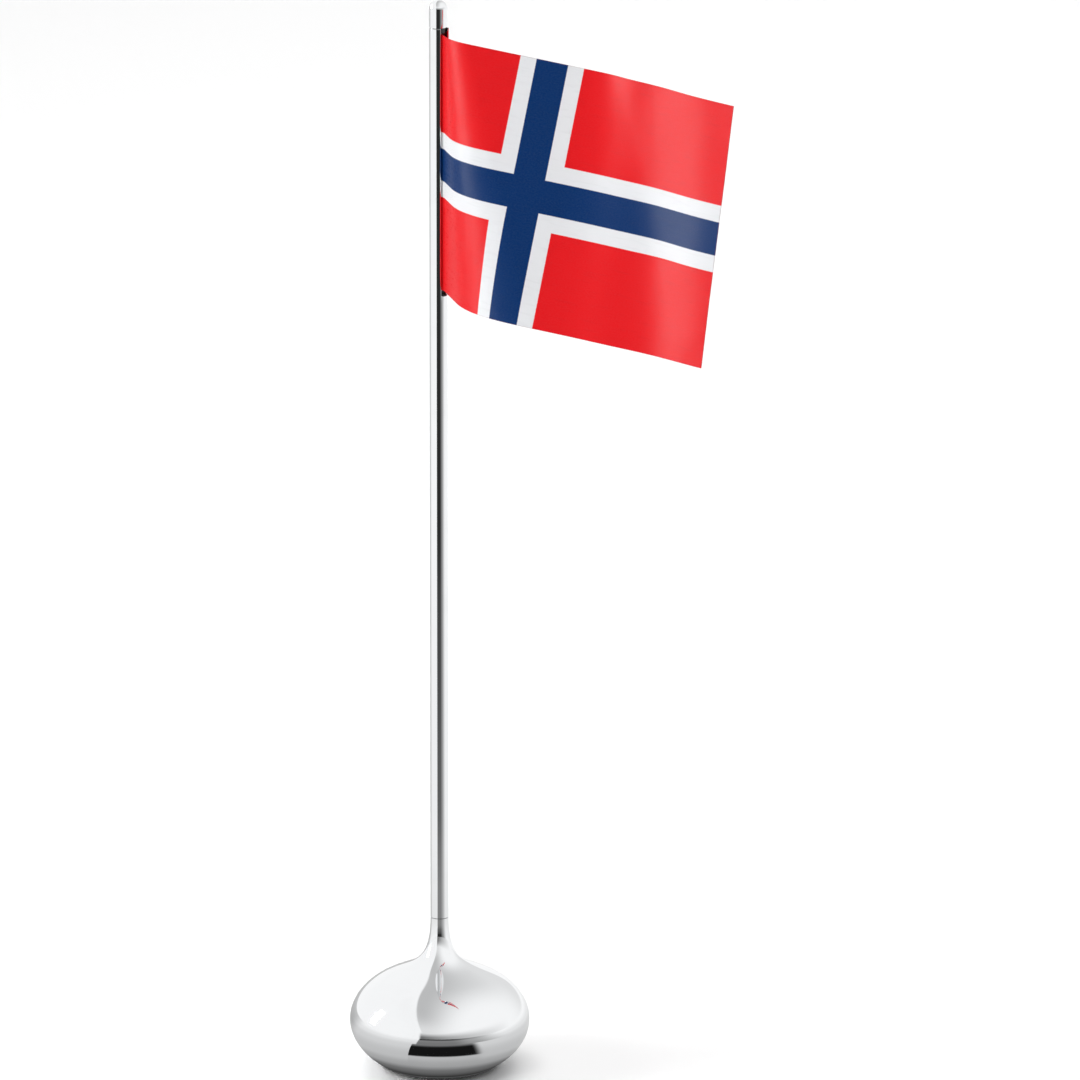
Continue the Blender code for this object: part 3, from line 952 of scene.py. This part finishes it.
# Each lamp: its angles in degrees round from the camera and above the floor, its distance, its width
# and height, its power, and the rays that don't see it
LAMP_AIM = Vector((0.03, 0.0, 0.2))
LAMPS = (
    ("strip_light", -81.0, 14.0, 2.2, (0.34, 1.3), 22.0, "visible_glossy"),
    ("sheen_light", -97.0, 16.0, 2.2, (0.34, 1.1), 125.0, "visible_diffuse"),
    ("top_light", 0.0, 84.0, 2.5, (2.2, 2.2), 40.0, "visible_glossy"),
    ("back_light", 150.0, 40.0, 2.2, (1.6, 1.6), 14.0, "visible_glossy"),
)


def heading_vector(turn):
    """Level direction towards the camera that stands at a heading."""
    return Vector((math.sin(turn), -math.cos(turn), 0.0))


def raised_vector(turn, elevation):
    """Direction towards a heading, lifted by an angle."""
    return heading_vector(turn) * math.cos(elevation) + Vector((0.0, 0.0, math.sin(elevation)))


def right_vector(turn):
    """Level direction to the right of the camera that stands at a heading."""
    return Vector((math.cos(turn), math.sin(turn), 0.0))


def make_floor(stage):
    bm = bmesh.new()
    bmesh.ops.create_circle(bm, cap_ends=True, segments=96, radius=FLOOR_RADIUS)
    floor = link_object("floor", mesh_from(bm, "floor"))
    floor.data.materials.append(new_material("floor_paint", stage.floor_colour, 0.9, 0.0)[0])


def level_at(stops, place):
    """Reads a value off a short list of (place, value) stops."""
    for (start, low), (end, high) in zip(stops, stops[1:]):
        if place <= end:
            return low + (high - low) * smooth_step((place - start) / (end - start))
    return stops[-1][1]


# Brightness of the glow card, a painted reflection, by distance from the pole in mm: beside and behind the
# stand, where only the painted shadow under the base is dark, and in front of it, where it paints the unlit
# end of the studio.
# The dark front begins at one angle near the stand and at another farther out, in degrees from the
# camera's side, with the card's facets split closely there to keep the edge sharp
PAINTED_SHADOW_LEVELS = ((13.6, 0.004), (17.0, 0.02), (21.5, 0.15), (26.5, 0.42))
SIDE_LEVELS = PAINTED_SHADOW_LEVELS + (
    (33.0, 0.58), (60.0, 0.72), (120.0, 0.88), (260.0, 0.98), (680.0, 1.05),
)
FRONT_LEVELS = PAINTED_SHADOW_LEVELS + (
    (34.5, 0.55), (36.0, 0.008), (58.0, 0.008), (75.0, 0.2), (190.0, 0.24), (300.0, 0.12),
    (480.0, 0.07), (640.0, 0.025),
)
NEAR_START, FAR_START, START_SPLIT = -29.0, -25.0, 0.01
NEAR_REACH = 80.0
CARD_HEIGHT = 0.3 * MM


def front_share(turn, distance):
    """How far a place on the card belongs to the dark front, by its angle from the camera's side."""
    degrees = math.degrees(turn)
    if degrees < (NEAR_START if distance < NEAR_REACH else FAR_START):
        return 0.0
    if distance < NEAR_REACH:
        return 1.0 - smooth_step((degrees - 33.0) / 10.0)
    return (1.0 - 0.25 * smooth_step((degrees - 14.0) / 26.0)) * (1.0 - smooth_step((degrees - 35.0) / 50.0))


def card_level(turn, distance):
    """Brightness of the card at a place: also dimmed a little behind the stand, to the left."""
    share = front_share(turn, distance)
    behind = 0.42 * smooth_step((-math.degrees(turn) - 105.0) / 30.0) * smooth_step(distance / 90.0)
    side = level_at(SIDE_LEVELS, distance) * (1.0 - behind)
    return side + (level_at(FRONT_LEVELS, distance) - side) * share


def make_glow_card(stage):
    """A card that lies flat round the stand, glows and that only the chrome sees: a painted reflection
    that draws the dark line down the pole, the dark band low on the base and the painted shadow under it."""
    front = heading_vector(stage.heading)
    right = right_vector(stage.heading)
    turns = spaced(-math.pi, math.radians(NEAR_START - START_SPLIT), 36)
    turns += spaced(math.radians(NEAR_START + START_SPLIT), math.radians(FAR_START - START_SPLIT), 3)
    turns += spaced(math.radians(FAR_START + START_SPLIT), math.pi, 102)
    distances = (
        spaced(13.6, 34.5, 14) + spaced(36.0, 80.0, 12) + spaced(90.0, 200.0, 8)
        + spaced(240.0, 680.0, 12) + [900.0, 1500.0, 6000.0]
    )
    bm = bmesh.new()
    shade = bm.verts.layers.float_color.new("shade")
    rings = []
    for distance in distances:
        ring = []
        for turn in turns:
            out = front * math.cos(turn) + right * math.sin(turn)
            vert = bm.verts.new(out * distance * MM + Vector((0.0, 0.0, CARD_HEIGHT)))
            level = card_level(turn, distance)
            vert[shade] = (level, level, level, 1.0)
            ring.append(vert)
        rings.append(ring)
    for inner, outer in zip(rings, rings[1:]):
        for corners in zip(inner, outer, outer[1:], inner[1:]):
            bm.faces.new(corners)
    card = link_object("glow_card", mesh_from(bm, "glow_card"))
    material = bpy.data.materials.new("glow_card_painted_reflection")
    material.use_nodes = True
    graph = Graph(material.node_tree)
    material.node_tree.nodes.remove(material.node_tree.nodes["Principled BSDF"])
    level = graph.add("ShaderNodeVertexColor", {"layer_name": "shade"})
    glow = graph.add("ShaderNodeEmission", None, {"Color": level, "Strength": 1.0})
    graph.tree.links.new(glow.socket, graph.tree.nodes["Material Output"].inputs["Surface"])
    card.data.materials.append(material)
    for rays in ("camera", "diffuse", "shadow", "transmission"):
        setattr(card, "visible_" + rays, False)


def make_world(stage):
    """A white room. A broad grey panel hangs over the stand, with one edge to its left, and the
    room gets darker towards the horizon in front. Matt surfaces get only a share of its light."""
    world = bpy.data.worlds.new("studio")
    bpy.context.scene.world = world
    world.use_nodes = True
    graph = Graph(world.node_tree)
    direction = graph.add("ShaderNodeTexCoord", output="Generated")
    x, y, z = graph.parts(direction)
    front = heading_vector(stage.heading)
    ahead = x * front.x + y * front.y
    aside = x * -front.y + y * front.x
    inwards = aside + z * PANEL_LEAN[0] + ahead * PANEL_LEAN[1]
    panel = graph.ramp(inwards, -0.015, 0.02) * (1.0 - graph.ramp(inwards, 0.1, 0.95))
    panel = panel * graph.ramp(z, 0.0, 0.1) * (0.22 + 0.24 * graph.ramp(z, 0.4, 0.95))
    turn = graph.math("ARCTAN2", aside, ahead)
    low = graph.ramp(turn, math.radians(-27.0), math.radians(-23.0)) * (0.69 - 0.39 * turn)
    low = graph.math("MAXIMUM", low, 0.0) * (1.0 - graph.ramp(z, 0.05, 0.4))
    dim = graph.math("MAXIMUM", panel, low)
    spread = graph.add("ShaderNodeLightPath", output="Is Diffuse Ray")
    strength = (1.0 - dim) * stage.room_light * (1.0 - spread * (1.0 - stage.fill_light))
    background = world.node_tree.nodes["Background"]
    graph.tree.links.new(strength.socket, background.inputs["Strength"])
    background.inputs["Color"].default_value = (1.0, 1.0, 1.0, 1.0)


def point_at(thing, aim, out, distance):
    """Stands a lamp or camera a distance out from a point and turns it to face the point."""
    thing.location = aim + out * distance
    thing.rotation_euler = (-out).to_track_quat("-Z", "Y").to_euler()


def make_lamp(stage, name, turn, elevation, distance, size, power, unseen_by):
    """A rectangular area light that faces the stand."""
    light = bpy.data.lights.new(name, "AREA")
    light.shape = "RECTANGLE"
    light.size, light.size_y = size
    light.energy = power
    lamp = link_object(name, light)
    out = raised_vector(stage.heading + math.radians(turn), math.radians(elevation))
    point_at(lamp, LAMP_AIM, out, distance)
    setattr(lamp, unseen_by, False)


def make_camera(stage):
    data = bpy.data.cameras.new("camera")
    data.sensor_width = 36.0
    data.lens = stage.focal_length
    data.clip_end = 50.0
    camera = link_object("camera", data)
    aim = right_vector(stage.heading) * stage.aim_out + Vector((0.0, 0.0, stage.aim_height))
    point_at(camera, aim, raised_vector(stage.heading, stage.elevation), stage.distance)
    bpy.context.scene.camera = camera


# ---- add-on


class FLAGSTAND_OT_make_stage(Operator):
    """Make the floor, the lights and the camera"""

    bl_idname = "flagstand.make_stage"
    bl_label = "Stage"

    def execute(self, context):
        stage = context.scene.flagstand_stage
        make_camera(stage)
        make_floor(stage)
        make_glow_card(stage)
        make_world(stage)
        for lamp in LAMPS:
            make_lamp(stage, *lamp)
        context.scene.view_settings.view_transform = "Standard"
        return {"FINISHED"}


class FLAGSTAND_OT_make_base(Operator):
    """Make the chromed drop base and finish the parts inside and under it"""

    bl_idname = "flagstand.make_base"
    bl_label = "Base"

    def execute(self, context):
        chrome = context.scene.flagstand_chrome
        base = make_base(chrome, chrome_material("base_chrome_plate", chrome))
        hand_over(base, STAND, "chrome_plate", "base_shell")
        pad = finer_copy("foot_pad", "rubber_foot", rubber_material("foot_rubber"), 0.12 * MM)
        hand_over(pad, STAND, "pad_rubber", "foot_pad")
        finish_node("base_plate", painted_material("plate_black_paint"))
        finish_node("ballast_weight", iron_material("ballast_iron"))
        zinc = zinc_material("fixing_zinc")
        for node in ("pole_stud", "ballast_washer", "spring_washer", "stud_nut", "pole_insert"):
            finish_node(node, zinc)
        return {"FINISHED"}


class FLAGSTAND_OT_make_pole(Operator):
    """Make the slotted tube and finish the socket inside it"""

    bl_idname = "flagstand.make_pole"
    bl_label = "Pole"

    def execute(self, context):
        chrome = context.scene.flagstand_chrome
        tube = make_pole(chrome, chrome_material("tube_chrome_plate", chrome))
        hand_over(tube, STAND, "chrome_plate", "pole_tube")
        finish_node("rod_socket", plastic_material("socket_plastic"))
        return {"FINISHED"}


class FLAGSTAND_OT_make_cap(Operator):
    """Make the domed cap, its plug and the rod that it holds"""

    bl_idname = "flagstand.make_cap"
    bl_label = "Cap and rod"

    def execute(self, context):
        chrome = context.scene.flagstand_chrome
        cap = make_cap(chrome, chrome_material("cap_chrome_plate", chrome))
        hand_over(cap, CAP_AND_ROD, "chrome_plate", "cap_shell")
        plug = finer_copy("cap_plug", "moulded_plug", plastic_material("plug_plastic"), 0.05 * MM)
        hand_over(plug, CAP_AND_ROD, "black_plastic", "cap_plug")
        rod = make_rod(rod_material("drawn_steel"))
        hand_over(rod, CAP_AND_ROD, "rod_steel", "hoist_rod")
        return {"FINISHED"}


class FLAGSTAND_OT_make_flag(Operator):
    """Make the satin flag with its sleeve and the stitches of its seam"""

    bl_idname = "flagstand.make_flag"
    bl_label = "Flag"

    def execute(self, context):
        cloth = context.scene.flagstand_cloth
        flag, flat = make_flag(cloth, satin_material("printed_satin", cloth))
        hand_over(flag, FLAG, "flag_satin", "flag_cloth")
        stitches = make_stitches(cloth, thread_material("sewing_thread"))
        hand_over(stitches, FLAG, "flag_satin")
        return {"FINISHED"}


class FLAGSTAND_PT_pieces(Panel):
    """Lists the pieces of the flag stand and their settings"""

    bl_idname = "FLAGSTAND_PT_pieces"
    bl_label = "Desk flag stand"
    bl_space_type = "VIEW_3D"
    bl_region_type = "UI"
    bl_category = "Flag stand"

    def draw(self, context):
        for step in OPERATORS:
            self.layout.operator(step.bl_idname)
        scene = context.scene
        for group in (scene.flagstand_chrome, scene.flagstand_cloth, scene.flagstand_stage):
            box = self.layout.box()
            for name in group.__annotations__:
                box.prop(group, name)


OPERATORS = (
    FLAGSTAND_OT_make_stage,
    FLAGSTAND_OT_make_base,
    FLAGSTAND_OT_make_pole,
    FLAGSTAND_OT_make_cap,
    FLAGSTAND_OT_make_flag,
)
CLASSES = (ChromeSettings, ClothSettings, StageSettings, *OPERATORS, FLAGSTAND_PT_pieces)


def register():
    for item in CLASSES:
        bpy.utils.register_class(item)
    bpy.types.Scene.flagstand_chrome = PointerProperty(type=ChromeSettings)
    bpy.types.Scene.flagstand_cloth = PointerProperty(type=ClothSettings)
    bpy.types.Scene.flagstand_stage = PointerProperty(type=StageSettings)


def unregister():
    del bpy.types.Scene.flagstand_stage
    del bpy.types.Scene.flagstand_cloth
    del bpy.types.Scene.flagstand_chrome
    for item in reversed(CLASSES):
        bpy.utils.unregister_class(item)


def main():
    register()
    bpy.ops.flagstand.make_stage()
    bpy.ops.flagstand.make_base()
    bpy.ops.flagstand.make_pole()
    bpy.ops.flagstand.make_cap()
    bpy.ops.flagstand.make_flag()


if __name__ == "__main__":
    main()
